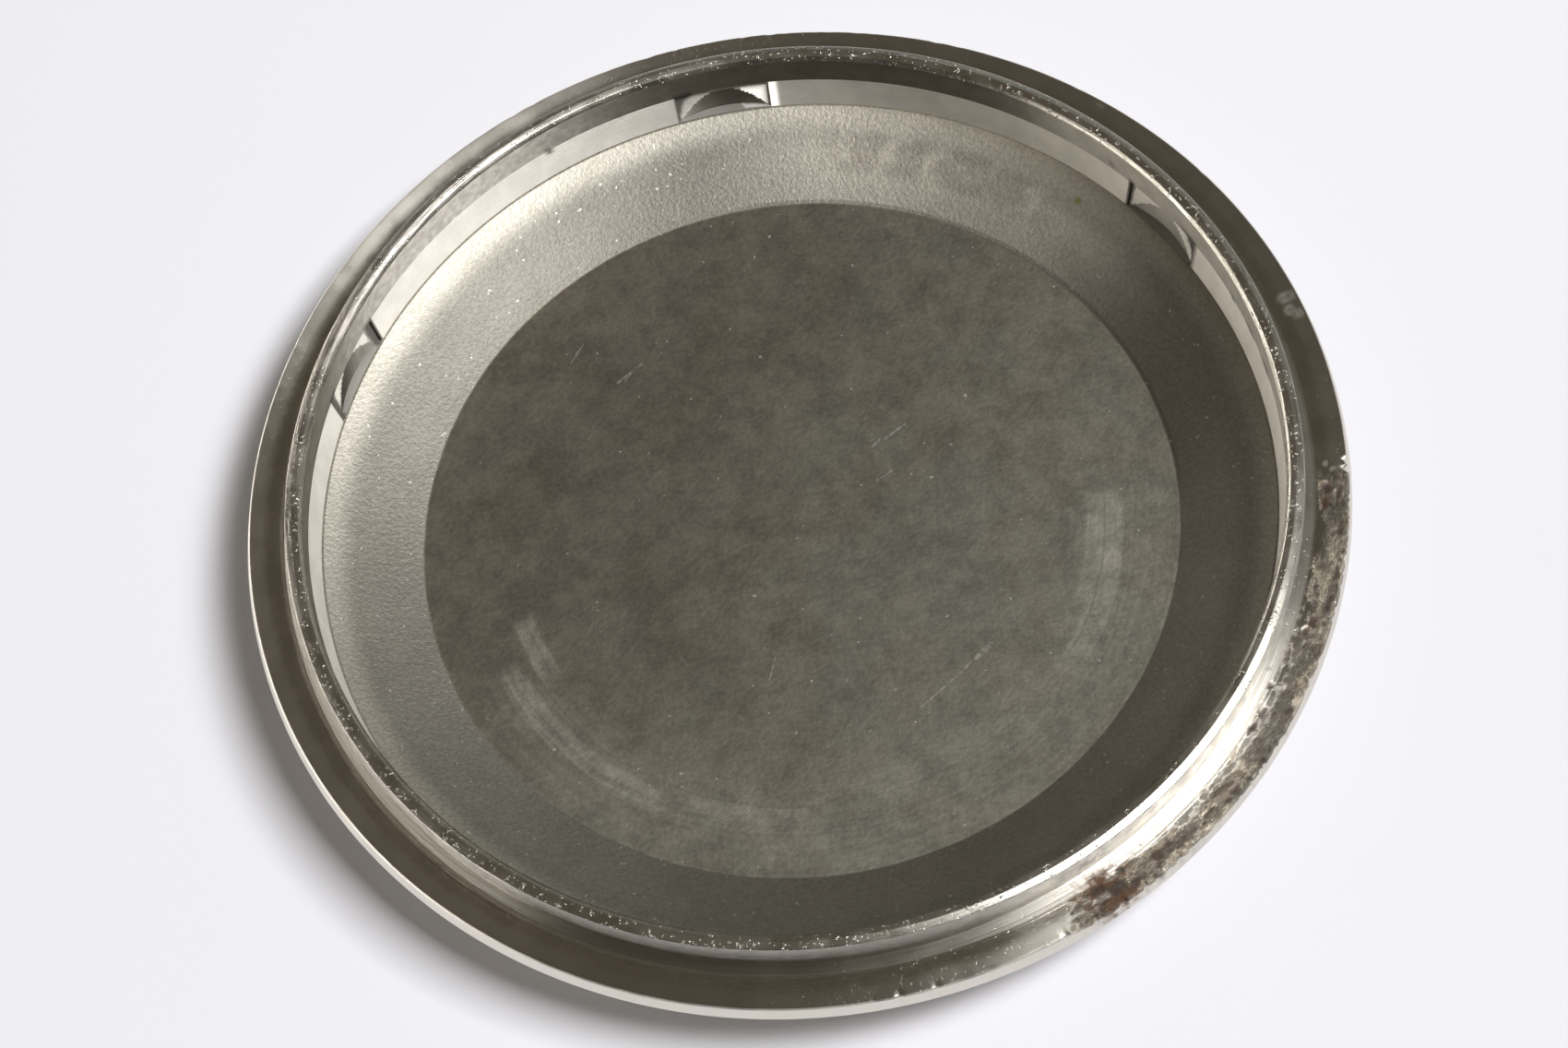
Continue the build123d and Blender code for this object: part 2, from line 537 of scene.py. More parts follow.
def grid_faces(rows, columns, scooped):
    """Faces over the grid, closed by a fan at each end, and the surface of each face."""
    here = np.arange(columns)
    beside = (here + 1) % columns
    faces, surfaces = [], []
    for row in range(len(rows) - 3):
        start = 1 + row * columns
        quads = np.stack([
            start + here,
            start + columns + here,
            start + columns + beside,
            start + beside,
        ], -1)
        faces += quads.tolist()
        corners = scooped[row + 1:row + 3]
        all_scooped = (corners + np.roll(corners, -1, 1)).sum(0) > 3.5
        surfaces += np.where(all_scooped, SCOOP, rows[row + 1][2]).tolist()
    outer_start = 1 + (len(rows) - 3) * columns
    last = outer_start + columns
    faces += np.stack([0 * here, 1 + here, 1 + beside], -1).tolist()
    surfaces += [rows[0][2]] * columns
    faces += np.stack([0 * here + last, outer_start + beside, outer_start + here], -1).tolist()
    surfaces += [rows[-1][2]] * columns
    return faces, surfaces


def build_mesh(name):
    """The whole back as one closed mesh of grid quads, with its masks as attributes."""
    rows = outline_rows()
    azimuths = column_azimuths()
    radius, height, masks, scooped = shaped_grid(rows, azimuths)
    turn = np.radians(azimuths)[None, :]
    grid = np.stack([radius * np.cos(turn), radius * np.sin(turn), height], -1)
    inner = grid[1:-1].reshape(-1, 3)
    points = np.concatenate([[[0, 0, rows[0][1]]], inner, [[0, 0, rows[-1][1]]]]) * MM
    faces, surfaces = grid_faces(rows, len(azimuths), scooped)

    mesh = bpy.data.meshes.new(name)
    mesh.from_pydata(points.tolist(), [], faces)
    mesh.polygons.foreach_set("material_index", surfaces)
    mesh.polygons.foreach_set("use_smooth", [True] * len(faces))
    for label, values in masks.items():
        flat = np.concatenate([[0], values[1:-1].ravel(), [0]]).astype(np.float32)
        mesh.attributes.new(label, "FLOAT", "POINT").data.foreach_set("value", flat)
    mesh.update()
    mesh.set_sharp_from_angle(angle=radians(sharp_angle))
    sharpen_scoops(mesh)
    return mesh


def sharpen_scoops(mesh):
    """Marks the edges between the scoops and the foot of the wall as sharp."""
    bm = bmesh.new()
    bm.from_mesh(mesh)
    for edge in bm.edges:
        if {face.material_index for face in edge.link_faces} == {FOOT, SCOOP}:
            edge.smooth = False
    bm.to_mesh(mesh)
    bm.free()


# ---- materials

class Nodes:
    """Short ways to add and wire the nodes of one tree."""

    def __init__(self, tree):
        self.tree = tree

    def add(self, kind, **settings):
        """A new node with these settings."""
        made = self.tree.nodes.new(kind)
        for key, value in settings.items():
            setattr(made, key, value)
        return made

    def put(self, socket, value):
        """Links another node's output to a socket, or sets a plain value on it."""
        if isinstance(value, bpy.types.NodeSocket):
            self.tree.links.new(value, socket)
        else:
            socket.default_value = value

    def math(self, operation, a, b=0.0):
        made = self.add("ShaderNodeMath", operation=operation)
        self.put(made.inputs[0], a)
        self.put(made.inputs[1], b)
        return made.outputs[0]

    def chain(self, operation, values):
        """One operation over two or more values, from left to right."""
        total = values[0]
        for value in values[1:]:
            total = self.math(operation, total, value)
        return total

    def times(self, *values):
        return self.chain("MULTIPLY", values)

    def plus(self, *values):
        return self.chain("ADD", values)

    def most(self, *values):
        return self.chain("MAXIMUM", values)

    def flip(self, value):
        """1 where the value is 0, and 0 where it is 1."""
        return self.math("SUBTRACT", 1.0, value)

    def ramp(self, value, low, high, start=0.0, end=1.0):
        """start below low, end above high, smooth between."""
        made = self.add("ShaderNodeMapRange", interpolation_type="SMOOTHSTEP")
        for socket, number in zip(made.inputs, (value, low, high, start, end)):
            self.put(socket, number)
        return made.outputs[0]

    def band(self, value, low, high, soft):
        """1 between low and high, fading over soft on each side."""
        up = self.ramp(value, low - soft, low)
        down = self.ramp(value, high, high + soft, 1.0, 0.0)
        return self.times(up, down)

    def split(self, vector):
        made = self.add("ShaderNodeSeparateXYZ")
        self.put(made.inputs[0], vector)
        return made.outputs

    def reach(self, x, y):
        """Length of a line that goes x one way and y across it."""
        return self.math("SQRT", self.plus(self.times(x, x), self.times(y, y)))

    def azimuth_of(self, x, y):
        """Azimuth in degrees, from -180 to 180."""
        return self.math("MULTIPLY", self.math("ARCTAN2", y, x), degrees(1))

    def around(self, azimuth, start, end, soft):
        """1 between two azimuths, fading over soft degrees outside them."""
        middle, half = (start + end) / 2, (end - start) / 2
        turned = self.math("WRAP", self.math("SUBTRACT", azimuth, middle), 180.0)
        turned.node.inputs[2].default_value = -180.0
        return self.ramp(self.math("ABSOLUTE", turned), half, half + soft, 1.0, 0.0)

    def blend(self, share, a, b, blend_type="MIX"):
        """Colour a where share is 0 and b where it is 1."""
        made = self.add("ShaderNodeMix", data_type="RGBA", blend_type=blend_type)
        colours = [socket for socket in made.inputs if socket.type == "RGBA"]
        self.put(made.inputs[0], share)
        for socket, value in zip(colours, (a, b)):
            if isinstance(value, tuple):
                value = (*value, 1.0)
            self.put(socket, value)
        return [socket for socket in made.outputs if socket.type == "RGBA"][0]

    def grey(self, value):
        """A number as a grey colour."""
        made = self.add("ShaderNodeCombineColor")
        for socket in made.inputs:
            self.put(socket, value)
        return made.outputs[0]

    def between(self, share, a, b):
        """Number a where share is 0 and b where it is 1."""
        made = self.add("ShaderNodeMix", data_type="FLOAT")
        self.put(made.inputs[0], share)
        self.put(made.inputs[2], a)
        self.put(made.inputs[3], b)
        return made.outputs[0]


class Recipe(Nodes):
    """One metal finish. Positions are in millimetres."""

    def __init__(self, name):
        self.material = bpy.data.materials.new(name)
        self.material.use_nodes = True
        super().__init__(self.material.node_tree)
        self.shader = self.tree.nodes["Principled BSDF"]
        scaled = self.add("ShaderNodeVectorMath", operation="SCALE")
        self.put(scaled.inputs[0], self.add("ShaderNodeTexCoord").outputs["Object"])
        scaled.inputs["Scale"].default_value = 1 / MM
        self.place = scaled.outputs[0]
        self.x, self.y, self.z = self.split(self.place)
        self.radius = self.reach(self.x, self.y)
        self.azimuth = self.azimuth_of(self.x, self.y)

    def sector(self, start, end, soft):
        """1 between two azimuths, fading over soft degrees outside them."""
        return self.around(self.azimuth, start, end, soft)

    def noise_at(self, place, scale, detail, roughness, socket="Vector", **settings):
        """Noise at a place: roughness is how strong its finer layers are."""
        made = self.add("ShaderNodeTexNoise", **settings)
        self.put(made.inputs[socket], place)
        made.inputs["Scale"].default_value = scale
        made.inputs["Detail"].default_value = detail
        made.inputs["Roughness"].default_value = roughness
        return made.outputs["Fac"]

    def noise(self, scale, detail=2.0, roughness=0.5, moved=0.0):
        """Noise with scale cells to the millimetre."""
        shifted = self.add("ShaderNodeVectorMath", operation="ADD")
        self.put(shifted.inputs[0], self.place)
        shifted.inputs[1].default_value = (moved, moved, moved)
        return self.noise_at(shifted.outputs[0], scale, detail, roughness)

    def along_rim(self, scale, detail, roughness, moved=0.0, drawn=3.0):
        """Noise with its cells drawn out along the rim, so many times as long as wide."""
        unrolled = self.add("ShaderNodeCombineXYZ")
        self.put(unrolled.inputs[0], self.plus(self.radius, moved))
        self.put(unrolled.inputs[1], self.times(self.azimuth, radians(1) * rim_radius / drawn))
        self.put(unrolled.inputs[2], self.z)
        return self.noise_at(unrolled.outputs[0], scale, detail, roughness)

    def hairs(self, heading, scale, length, threshold):
        """Fine straight hairlines along a heading: a higher threshold leaves fewer."""
        turned = self.add("ShaderNodeMapping", vector_type="POINT")
        self.put(turned.inputs["Vector"], self.place)
        turned.inputs["Rotation"].default_value = (0, 0, radians(-heading))
        turned.inputs["Scale"].default_value = (1, 1, 0)
        stretched = self.add("ShaderNodeVectorMath", operation="MULTIPLY")
        self.put(stretched.inputs[0], turned.outputs[0])
        stretched.inputs[1].default_value = (1 / length, 1, 1)
        noise = self.noise_at(stretched.outputs[0], scale, 1.0, 0.5)
        return self.ramp(noise, threshold, threshold + 0.04)

    def scratch(self, start, end, width):
        """1 on a straight scratch between two places on the plan."""
        start, end = Vector(start), Vector(end)
        along = (end - start).normalized()
        length = (end - start).length
        from_x = self.math("SUBTRACT", self.x, start.x)
        from_y = self.math("SUBTRACT", self.y, start.y)
        travelled = self.plus(self.times(from_x, along.x), self.times(from_y, along.y))
        aside = self.plus(self.times(from_x, -along.y), self.times(from_y, along.x))
        near = self.ramp(self.math("ABSOLUTE", aside), 0.3 * width, width, 1.0, 0.0)
        return self.times(near, self.band(travelled, 0.0, length, 0.12))

    def spot(self, x, y, size):
        """1 in the middle of a round spot on the plan, fading to its edge."""
        from_x = self.math("SUBTRACT", self.x, x)
        from_y = self.math("SUBTRACT", self.y, y)
        return self.ramp(self.reach(from_x, from_y), 0.3 * size, size, 1.0, 0.0)

    def lines(self, value, scale, detail=2.0, roughness=0.6):
        """Noise along one number only, such as the radius: turned lines."""
        return self.noise_at(value, scale, detail, roughness, "W", noise_dimensions="1D")

    def mask(self, name):
        """One of the mesh's masks."""
        return self.add("ShaderNodeAttribute", attribute_name=name).outputs["Fac"]

    def shade(self, colour, value):
        """The colour multiplied by a number."""
        return self.blend(1.0, colour, self.grey(value), "MULTIPLY")

    def relief(self, height, depth, before=None):
        """Bump from a height of 0 to 1 that stands depth millimetres."""
        made = self.add("ShaderNodeBump")
        made.inputs["Strength"].default_value = 1.0
        made.inputs["Distance"].default_value = depth * MM
        self.put(made.inputs["Height"], height)
        if before is not None:
            self.put(made.inputs["Normal"], before)
        return made.outputs[0]

    def turned(self, amount):
        """Stretches the gloss across the turned lines."""
        tangent = self.add("ShaderNodeTangent", direction_type="RADIAL", axis="Z")
        self.put(self.shader.inputs["Tangent"], tangent.outputs[0])
        self.shader.inputs["Anisotropic"].default_value = amount
        self.shader.inputs["Anisotropic Rotation"].default_value = 0.25

    def finish(self, colour, roughness, normal, metallic=1.0):
        """Wires the shader and gives the material."""
        self.put(self.shader.inputs["Base Color"], colour)
        self.put(self.shader.inputs["Roughness"], roughness)
        self.put(self.shader.inputs["Metallic"], metallic)
        self.put(self.shader.inputs["Normal"], normal)
        return self.material


# Colours of the metal
steel = (0.57, 0.54, 0.485)
# Painted light: the rim's colour is brighter than the seat's steel, so its side shows light.
rim_steel_painted_light = (0.80, 0.765, 0.70)
# Painted light: the foot's colour is far brighter than steel, so the lit foot shows white.
foot_steel_painted_light = (0.95, 0.92, 0.86)
scoop_steel = (0.48, 0.455, 0.41)
bore_steel = (0.52, 0.49, 0.44)
land_steel = (0.70, 0.665, 0.60)
floor_brown = (0.236, 0.217, 0.176)
floor_green = (0.222, 0.216, 0.180)
floor_tarnish = (0.178, 0.158, 0.127)
floor_rubbed = (0.345, 0.33, 0.28)
floor_bright = (0.50, 0.485, 0.425)
# floor_cut_and_glint is the colour of the scratches and of the painted glints.
floor_cut_and_glint = (0.62, 0.61, 0.57)
dish_dark = (0.232, 0.219, 0.190)
dish_light = (0.252, 0.238, 0.207)
dish_smear = (0.30, 0.27, 0.23)
dish_painted_glint = (0.60, 0.59, 0.55)

# Colours of what lies on it, and of painted shade
grime_and_shade = (0.060, 0.045, 0.034)
old_stain = (0.105, 0.088, 0.072)
crease_line_dark = (0.11, 0.095, 0.08)
verdigris = (0.36, 0.36, 0.10)
crust_light = (0.52, 0.46, 0.355)
crust_dark = (0.17, 0.138, 0.097)
crust_stain = (0.070, 0.058, 0.040)
rust_brown = (0.135, 0.060, 0.025)
pit_black = (0.040, 0.026, 0.018)

# Marks on the flat floor: scratches by their two ends and width, rubbed arcs by azimuths,
# radii and strength, and stains by place, size and strength.
floor_scratches = [
    ((-4.51, 6.06), (-3.73, 6.53), 0.05),
    ((-4.30, 6.05), (-3.95, 6.40), 0.03),
    ((3.01, 2.42), (3.63, 2.76), 0.05),
    ((2.55, 2.21), (2.80, 2.40), 0.04),
    ((2.45, -6.43), (4.76, -4.97), 0.035),
    ((3.90, -5.50), (4.70, -4.90), 0.05),
    ((-5.75, 7.10), (-5.35, 7.60), 0.04),
    ((-1.70, -4.60), (-1.45, -4.05), 0.03),
    ((2.55, 1.10), (3.05, 1.35), 0.04),
]
rubbed_arcs = [
    (199.0, 233.0, 9.30, 9.75, 1.0),
    (190.0, 199.0, 8.35, 8.75, 0.9),
    (333.0, 352.0, 8.55, 9.35, 0.9),
    (322.0, 334.0, 8.90, 9.50, 0.5),
    (236.0, 258.0, 9.10, 9.60, 0.4),
]
floor_stains = [
    (3.35, -1.25, 0.55, 0.6),
    (5.05, 7.30, 0.60, 0.5),
    (2.40, 9.60, 0.50, 0.4),
    (4.60, 2.10, 1.30, 0.3),
    (-4.60, -0.60, 1.60, 0.25),
    (-3.70, -3.40, 1.20, 0.2),
]


def floor_tone(m):
    """Patches of brown and green, with more tarnish towards the back on the left."""
    patches = m.noise(0.33, 5.0, 0.62)
    colour = m.blend(m.ramp(patches, 0.40, 0.60), floor_brown, floor_green)
    backward = m.plus(m.times(m.x, -0.78), m.times(m.y, 0.62))
    tarnish = m.times(m.ramp(backward, -6.0, 8.0), m.ramp(patches, 0.3, 0.6, 1.0, 0.6))
    return m.blend(tarnish, colour, floor_tarnish)


def floor_arcs(m, streaks, mottle):
    """Where the floor is rubbed bright."""
    arcs = m.most(*[
        m.times(m.sector(start, end, 4), m.band(m.radius, low, high, 0.22), strength)
        for start, end, low, high, strength in rubbed_arcs])
    broken = m.ramp(streaks, 0.30, 0.60, 0.35, 1.0)
    return m.times(arcs, broken, m.ramp(mottle, 0.3, 0.6, 0.5, 1.0))


def floor_cuts_and_painted_glints(m, grain):
    """Hairlines and scratches, and small painted glints: bright specks in the colour."""
    hairs = m.most(
        m.hairs(38, 7.0, 14.0, 0.76),
        m.hairs(64, 6.0, 12.0, 0.77),
        m.hairs(118, 6.0, 10.0, 0.77))
    broken = m.ramp(grain, 0.42, 0.55, 0.10, 0.62)
    scratches = [
        m.times(m.scratch(start, end, width), broken)
        for start, end, width in floor_scratches]
    # Painted glints: small bright specks put into the colour.
    painted_glints = m.ramp(m.noise(5.2, 1.0, 0.5, 11.0), 0.755, 0.80)
    return m.most(m.times(hairs, 0.22), painted_glints, *scratches)


def floor_material():
    """Flat middle of the dish: dull, mottled brown and green, rubbed brighter in arcs."""
    m = Recipe("dish_floor_steel")
    mottle = m.noise(1.9, 4.0, 0.62, 7.0)
    cloud = m.noise(0.85, 3.0, 0.6, 21.0)
    grain = m.noise(6.5, 2.0, 0.6, 3.0)
    wavy_radius = m.plus(m.radius, m.times(m.noise(0.5, 1.0), 0.25))
    streaks = m.lines(wavy_radius, 5.0, 4.0, 0.7)
    near_side = m.times(m.band(m.radius, 9.2, 11.2, 1.6), m.sector(212, 348, 26))
    arcs = floor_arcs(m, streaks, mottle)
    rubbed = m.times(near_side, m.ramp(streaks, 0.25, 0.75, 0.45, 1.0))
    colour = m.blend(m.times(rubbed, 0.50), floor_tone(m), floor_rubbed)
    colour = m.blend(m.times(arcs, 0.85), colour, floor_bright)
    for x, y, size, strength in floor_stains:
        stain = m.times(m.spot(x, y, size), m.ramp(mottle, 0.40, 0.58), strength)
        colour = m.blend(stain, colour, old_stain)
    shade = m.plus(
        m.ramp(mottle, 0.32, 0.68, 0.91, 1.09),
        m.ramp(grain, 0.30, 0.70, -0.09, 0.09),
        m.ramp(cloud, 0.34, 0.66, -0.11, 0.11))
    colour = m.shade(colour, shade)
    colour = m.blend(m.times(floor_cuts_and_painted_glints(m, grain), 0.75), colour, floor_cut_and_glint)
    normal = m.relief(m.times(streaks, near_side), 0.003, m.relief(grain, 0.006))
    return m.finish(colour, m.between(arcs, 0.54, 0.46), normal)


def dish_painted_light(m):
    """Painted light and shade on the slope, as a factor on its colour: painted shade at the back
    left where the lamp's highlight falls, and painted light at the front, towards the outer edge
    and in a patch at the back right.
    """
    # Painted shade where the lamp's highlight falls, and painted light at the front.
    duller = m.times(m.sector(108, 138, 34), -0.24)
    brighter = m.times(m.sector(200, 340, 30), 0.26)
    inner = m.plus(0.97, duller, brighter)
    # Painted light growing towards the outer edge, and in a patch at the back right.
    outer = m.ramp(m.radius, 12.9, 13.8, 1.0, 1.68)
    painted_light_outward = m.between(m.ramp(m.radius, 12.7, 13.6), inner, outer)
    pale_inside = m.ramp(m.radius, 11.2, 12.6, 0.68, 1.0)
    pale_outside = m.ramp(m.radius, 12.6, 13.7, 1.9, 0.70)
    painted_light_patch = m.plus(1.0, m.times(m.sector(48, 66, 30), pale_inside, pale_outside))
    return m.times(painted_light_outward, painted_light_patch)


def dish_material():
    """Blasted slope round the floor: a frosted grain, with painted glints as bright specks and
    painted light and shade by place.
    """
    m = Recipe("dish_slope_steel")
    grain = m.noise(8.0, 3.0, 0.62)
    fine = m.noise(15.0, 2.0, 0.6, 5.0)
    cloud = m.noise(0.55, 4.0, 0.6, 9.0)
    colour = m.blend(m.ramp(cloud, 0.35, 0.65), dish_dark, dish_light)
    # Painted light and shade over the slope's colour.
    colour = m.shade(colour, dish_painted_light(m))
    smear = m.times(
        m.sector(47, 72, 8),
        m.band(m.radius, 12.25, 13.10, 0.35),
        m.ramp(m.noise(1.1, 3.0, 0.6, 4.0), 0.38, 0.56))
    colour = m.blend(m.times(smear, 0.45), colour, dish_smear)
    # A thin darker line along the crease at the foot of the slope, at the back right.
    edge_line = m.times(
        m.band(m.radius, 11.20, 11.26, 0.05),
        m.sector(2, 84, 12),
        m.ramp(grain, 0.35, 0.6, 0.4, 1.0))
    colour = m.blend(m.times(edge_line, 0.5), colour, crease_line_dark)
    speckle = m.plus(m.ramp(grain, 0.34, 0.66, 0.90, 1.08), m.ramp(fine, 0.3, 0.7, -0.05, 0.05))
    colour = m.shade(colour, speckle)
    # Painted glints: small bright specks put into the colour.
    painted_glint_specks = m.ramp(m.noise(6.0, 1.0, 0.5, 13.0), 0.725, 0.765)
    colour = m.blend(m.times(painted_glint_specks, 0.7), colour, dish_painted_glint)
    colour = m.blend(m.times(m.spot(10.13, 8.64, 0.16), 0.8), colour, verdigris)
    normal = m.relief(fine, 0.005, m.relief(grain, 0.011))
    return m.finish(colour, 0.50, normal)


def foot_material():
    """Cone at the foot of the inner wall: turned, its colour painted light so it shows white
    where lit, with painted shade and some dirt in the notches.
    """
    m = Recipe("wall_foot_steel")
    lines = m.lines(m.z, 9.0, 4.0, 0.7)
    smudge = m.ramp(m.noise(1.2, 4.0, 0.6), 0.35, 0.65, 0.92, 1.0)
    # The dirt_and_shade mask darkens the foot with painted shade in the notches' corners and
    # over one scoop, and with real dirt.
    colour = m.blend(m.times(m.mask("dirt_and_shade"), 0.85), m.shade(foot_steel_painted_light, smudge), grime_and_shade)
    plain = m.relief(lines, 0.018, m.relief(m.z, -0.12))
    leaning_back = m.relief(m.plus(m.times(m.z, -0.40), m.times(m.x, -0.14), 1.5), 5.0)
    normal = m.blend(m.mask("chip"), plain, leaning_back)
    m.turned(0.70)
    return m.finish(colour, 0.68, normal)


def upright_material(name, tone, rough, lines):
    """Upright turned wall that spreads what it reflects up and down."""
    m = Recipe(name)
    smudge = m.ramp(m.noise(1.6, 4.0, 0.6, 2.0), 0.35, 0.65, 0.86, 1.0)
    # The dirt_and_shade mask darkens the wall with painted shade in the notches' corners and
    # over one scoop, and with real dirt spots.
    colour = m.blend(m.times(m.mask("dirt_and_shade"), 0.85), m.shade(tone, smudge), grime_and_shade)
    m.turned(1.0)
    roughness = m.ramp(m.noise(4.0, 3.0), 0.35, 0.7, *rough)
    return m.finish(colour, roughness, m.relief(m.lines(m.z, 10.0, 3.0), lines))


# Radii over which the finish changes from the root of the ring out across the seat
root_sweep = (root_radius - 0.1, 15.06)     # the wall's foot sweeps out in the look
root_dull = (14.98, 15.10)                  # duller beside the ring
streaked = (15.10, 15.18)                   # turned streaks end
handled = (15.25, 15.70)                    # duller again towards the rim


def turned_relief(m, speck, crust, corroded, lines, dents, root):
    """Turned lines, dents, streaks along the rim and a crust."""
    fine = m.plus(m.lines(m.radius, 24.0, 4.0, 0.7), m.lines(m.z, 24.0, 4.0, 0.7))
    dented = m.ramp(m.noise(8.0, 2.0, 0.6, 8.0), 0.61, 0.70)
    streaks = m.along_rim(7.0, 3.0, 0.7, moved=30.0, drawn=40.0)
    streaks = m.times(streaks, m.ramp(m.radius, *streaked, 1.0, 0.0))
    normal = m.relief(dented, -dents, m.relief(fine, lines))
    normal = m.relief(streaks, 0.020, normal)
    if root:
        normal = m.relief(m.ramp(m.radius, *root_sweep, 1.0, 0.0), 0.24, normal)
    return m.relief(m.times(m.plus(speck, crust), corroded), 0.016, normal)


def turned_material(name, tone, stretch, rough, lines, dents, root=0.0):
    """Turned and worn steel, with rust, pits and a beige crust where its masks say.

    Root is how much duller it is beside the ring, where its wall sweeps out.
    """
    m = Recipe(name)
    patchy = m.noise(0.9, 3.0, 0.6)
    speck = m.along_rim(5.0, 4.0, 0.70)
    pit, corroded = m.mask("pit"), m.mask("corroded")
    rusty = m.times(m.mask("rust"), m.ramp(speck, 0.40, 0.56))
    matt = m.ramp(corroded, 0.0, 0.30)
    crust = m.ramp(m.along_rim(2.6, 6.0, 0.85, 6.0), 0.42, 0.58)
    stain = m.ramp(m.along_rim(1.1, 6.0, 0.82, 15.0), 0.44, 0.55)

    roughness = m.ramp(patchy, 0.35, 0.65, *rough)
    roughness = m.plus(roughness, m.ramp(m.radius, *handled, 0.0, 0.16))
    if root:
        roughness = m.plus(roughness, m.ramp(m.radius, *root_dull, root, 0.0))
    roughness = m.between(matt, roughness, m.ramp(speck, 0.40, 0.58, 0.26, 0.62))
    roughness = m.between(m.most(pit, rusty), roughness, 0.75)

    worn = m.shade(tone, m.ramp(patchy, 0.3, 0.7, 0.94, 1.0))
    bloom = m.blend(m.times(stain, 0.90), m.blend(crust, crust_light, crust_dark), crust_stain)
    colour = m.blend(m.times(matt, 0.85), worn, bloom)
    colour = m.blend(rusty, colour, rust_brown)
    colour = m.blend(m.times(pit, 0.9), colour, pit_black)

    metallic = m.flip(m.most(pit, rusty, m.times(corroded, 0.45)))
    normal = turned_relief(m, speck, crust, corroded, lines, dents, root)
    m.turned(stretch)
    return m.finish(colour, roughness, normal, metallic)


def outside_material():
    """Outer face and bevel, polished and lightly scuffed."""
    m = Recipe("outer_face_steel")
    lines = m.lines(m.radius, 12.0, 4.0, 0.7)
    scuffs = m.noise(1.4, 5.0, 0.6)
    hairs = m.most(
        m.hairs(20, 7.0, 16.0, 0.66),
        m.hairs(75, 7.0, 12.0, 0.68),
        m.hairs(140, 6.0, 14.0, 0.68))
    m.turned(0.6)
    rough = m.plus(m.ramp(scuffs, 0.35, 0.7, 0.22, 0.34), m.times(hairs, 0.15))
    colour = m.shade(steel, m.ramp(scuffs, 0.3, 0.7, 0.94, 1.0))
    normal = m.relief(hairs, -0.004, m.relief(lines, 0.002))
    return m.finish(colour, rough, normal)


# ---- stage

table_size = 2.0                    # metres
table_white = (0.90, 0.90, 0.95)


def add_floor():
    """The white table that the back lies on."""
    bpy.ops.mesh.primitive_plane_add(size=table_size, location=(0, 0, 0))
    floor = bpy.context.object
    floor.name = "table_top"
    material = bpy.data.materials.new("white_table")
    material.use_nodes = True
    shader = material.node_tree.nodes["Principled BSDF"]
    shader.inputs["Base Color"].default_value = (*table_white, 1)
    shader.inputs["Roughness"].default_value = 0.9
    shader.inputs["Specular IOR Level"].default_value = 0.1
    floor.data.materials.append(material)


# Key lamp: degrees, metres and watts
key_azimuth = -18.5
key_elevation = 60.0
key_lean = 30.0
key_distance = 0.80
key_height = 0.22
key_length = 0.41
key_power = 6.5


def direction(azimuth, elevation):
    """One step towards an azimuth and an elevation."""
    azimuth, elevation = radians(azimuth), radians(elevation)
    return Vector((cos(azimuth) * cos(elevation), sin(azimuth) * cos(elevation), sin(elevation)))


def add_key():
    """A soft strip lamp to the right, its far end lower than its near one."""
    lamp = bpy.data.lights.new("key", "AREA")
    lamp.shape = "RECTANGLE"
    lamp.size = key_length
    lamp.size_y = key_height
    lamp.energy = key_power
    holder = bpy.data.objects.new("key", lamp)
    bpy.context.scene.collection.objects.link(holder)
    towards = direction(key_azimuth, key_elevation)
    level = Vector((0, 0, 1)).cross(towards).normalized()
    across = Matrix.Rotation(radians(-key_lean), 3, towards) @ level
    up = towards.cross(across)
    axes = Matrix((across, up, towards)).transposed()
    holder.matrix_world = Matrix.Translation(towards * key_distance) @ axes.to_4x4()


# The room, as the metal sees it: tones by height, and patches of another tone, each with its
# azimuths, elevations, softness and tone.
room_stops = [
    (0.00, (0.140, 0.134, 0.127)),
    (0.40, (0.098, 0.089, 0.073)),
    (0.70, (0.104, 0.091, 0.070)),
    (0.85, (0.105, 0.089, 0.066)),
]
window = (122.0, 209.0, 1.0, 9.0, 2.0, (6.3, 6.05, 5.6))
viewer_side = (222.0, 300.0, -10.0, 45.0, 8.0, (0.050, 0.045, 0.038))
far_corner = (18.0, 74.0, 6.0, 28.0, 6.0, (0.30, 0.32, 0.29))


def add_world():
    """A plain room, dark overhead, with a low window on the left."""
    world = bpy.data.worlds.new("room")
    bpy.context.scene.world = world
    world.use_nodes = True
    w = Nodes(world.node_tree)
    heading = w.add("ShaderNodeTexCoord").outputs["Generated"]
    x, y, z = w.split(heading)
    azimuth = w.azimuth_of(x, y)
    elevation = w.times(w.math("ARCSINE", z), degrees(1))
    by_height = w.add("ShaderNodeValToRGB")
    w.put(by_height.inputs[0], z)
    elements = by_height.color_ramp.elements
    for index, (where, colour) in enumerate(room_stops):
        element = elements[index] if index < 2 else elements.new(where)
        element.position = where
        element.color = (*colour, 1)
    tone = by_height.outputs[0]
    for start, end, low, high, soft, colour in (viewer_side, far_corner, window):
        patch = w.times(w.around(azimuth, start, end, soft), w.band(elevation, low, high, soft))
        tone = w.blend(patch, tone, colour)
    background = w.tree.nodes["Background"]
    w.put(background.inputs["Color"], tone)
    background.inputs["Strength"].default_value = 1.0


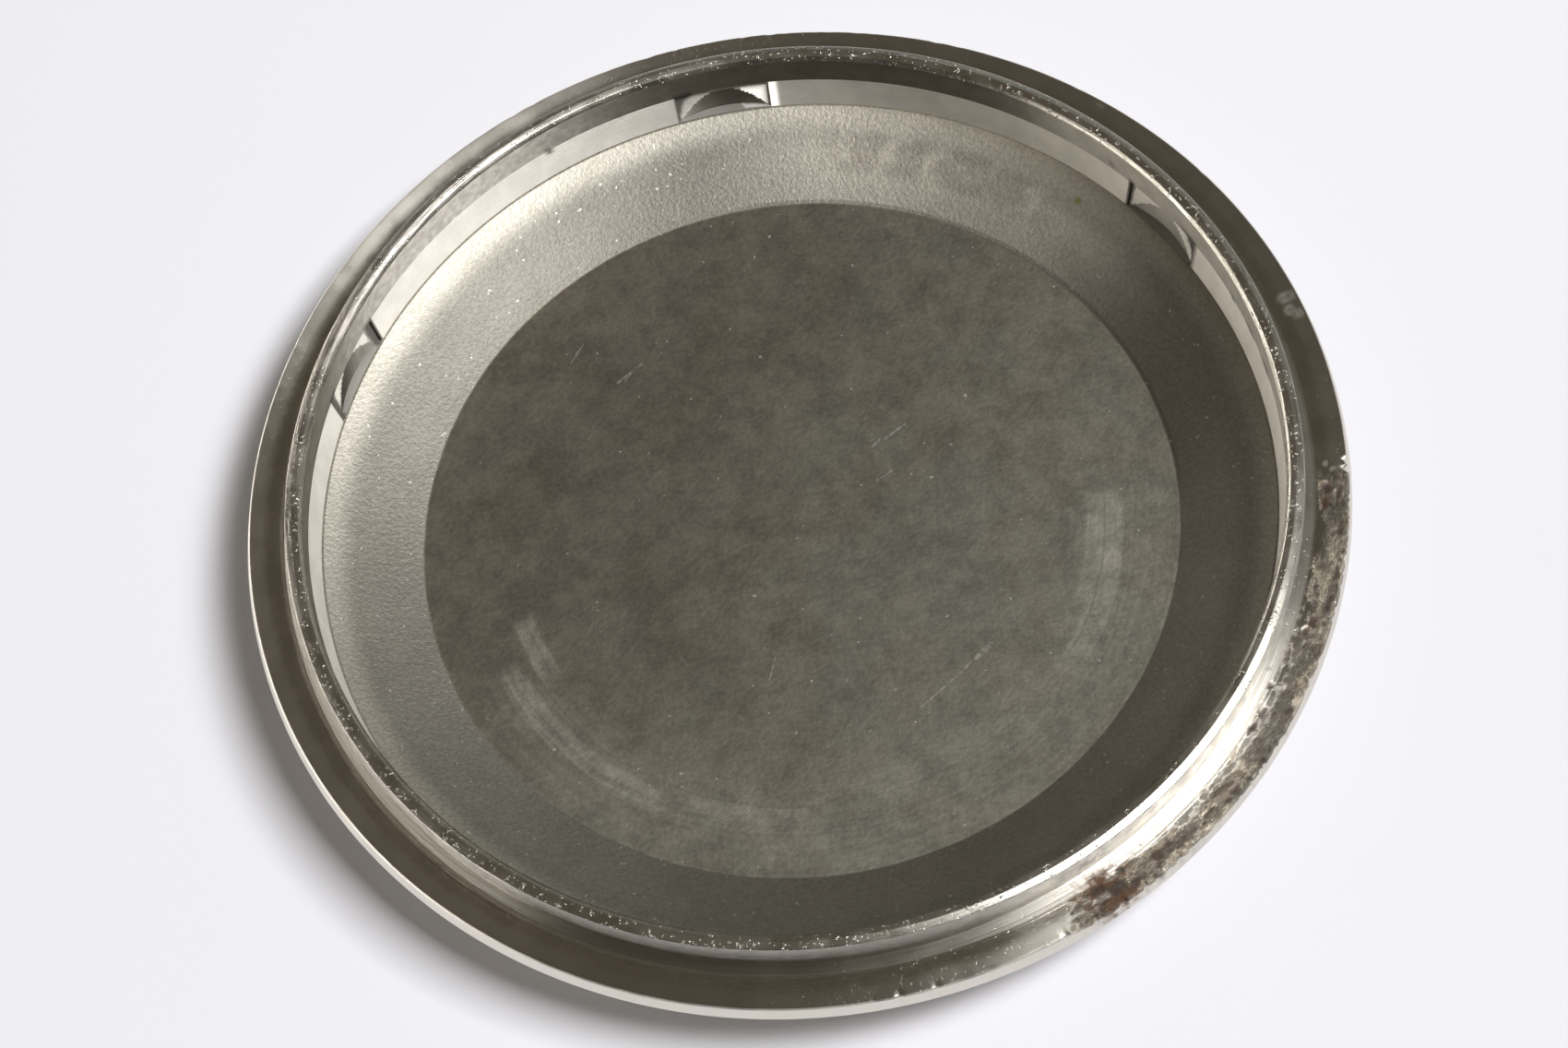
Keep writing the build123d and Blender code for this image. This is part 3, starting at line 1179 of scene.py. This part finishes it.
# Camera: its distances count in units, each this many millimetres
camera_unit = 16.0
camera_distance = 8.353
camera_aside = 0.017
camera_down = -0.055
camera_tilt = 28.07                 # degrees from straight down
camera_roll = -11.16
camera_lens = 105.88                # millimetres
camera_sensor = 36.0
camera_clip = 0.005                 # metres


def add_camera():
    """The camera, on the -Y side, 62 degrees above the table and a little rolled."""
    tilt, roll = radians(camera_tilt), radians(camera_roll)
    forward = Vector((0, sin(tilt), -cos(tilt)))
    right = Vector((1, 0, 0))
    down = forward.cross(right)
    turned_right = cos(roll) * right - sin(roll) * down
    turned_down = sin(roll) * right + cos(roll) * down
    to_seat = turned_right * camera_aside + turned_down * camera_down + forward * camera_distance
    place = -to_seat * (camera_unit * MM)
    place.z += seat_z * MM
    data = bpy.data.cameras.new("camera")
    data.lens = camera_lens
    data.sensor_width = camera_sensor
    data.clip_start = camera_clip
    camera = bpy.data.objects.new("camera", data)
    bpy.context.scene.collection.objects.link(camera)
    axes = Matrix((turned_right, -turned_down, -forward)).transposed()
    camera.matrix_world = Matrix.Translation(place) @ axes.to_4x4()
    bpy.context.scene.camera = camera


# ---- assembly

def add_back():
    """The case back, with one material for each of its surfaces."""
    mesh = build_mesh("case_back_steel")
    back = bpy.data.objects.new("case_back_steel", mesh)
    bpy.context.scene.collection.objects.link(back)
    materials = [
        floor_material(),
        dish_material(),
        foot_material(),
        upright_material("notch_scoop_steel", scoop_steel, (0.46, 0.54), 0.004),
        upright_material("bore_steel", bore_steel, (0.42, 0.50), 0.006),
        turned_material("ring_crest_steel", steel, 0.5, (0.25, 0.34), 0.002, 0.010),
        upright_material("ring_land_steel", land_steel, (0.30, 0.40), 0.012),
        turned_material("seat_steel", steel, 0.9, (0.18, 0.23), 0.001, 0.002, root=0.20),
        turned_material("rim_edge_steel", rim_steel_painted_light, 0.3, (0.24, 0.34), 0.002, 0.004),
        outside_material(),
    ]
    for material in materials:
        mesh.materials.append(material)
    weighted = back.modifiers.new("even_normals", "WEIGHTED_NORMAL")
    weighted.mode = "FACE_AREA"
    weighted.keep_sharp = True
    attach(back, "root")
    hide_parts("case_back")


bpy.context.scene.view_settings.view_transform = "Standard"
add_camera()
add_floor()
add_key()
add_world()
add_back()
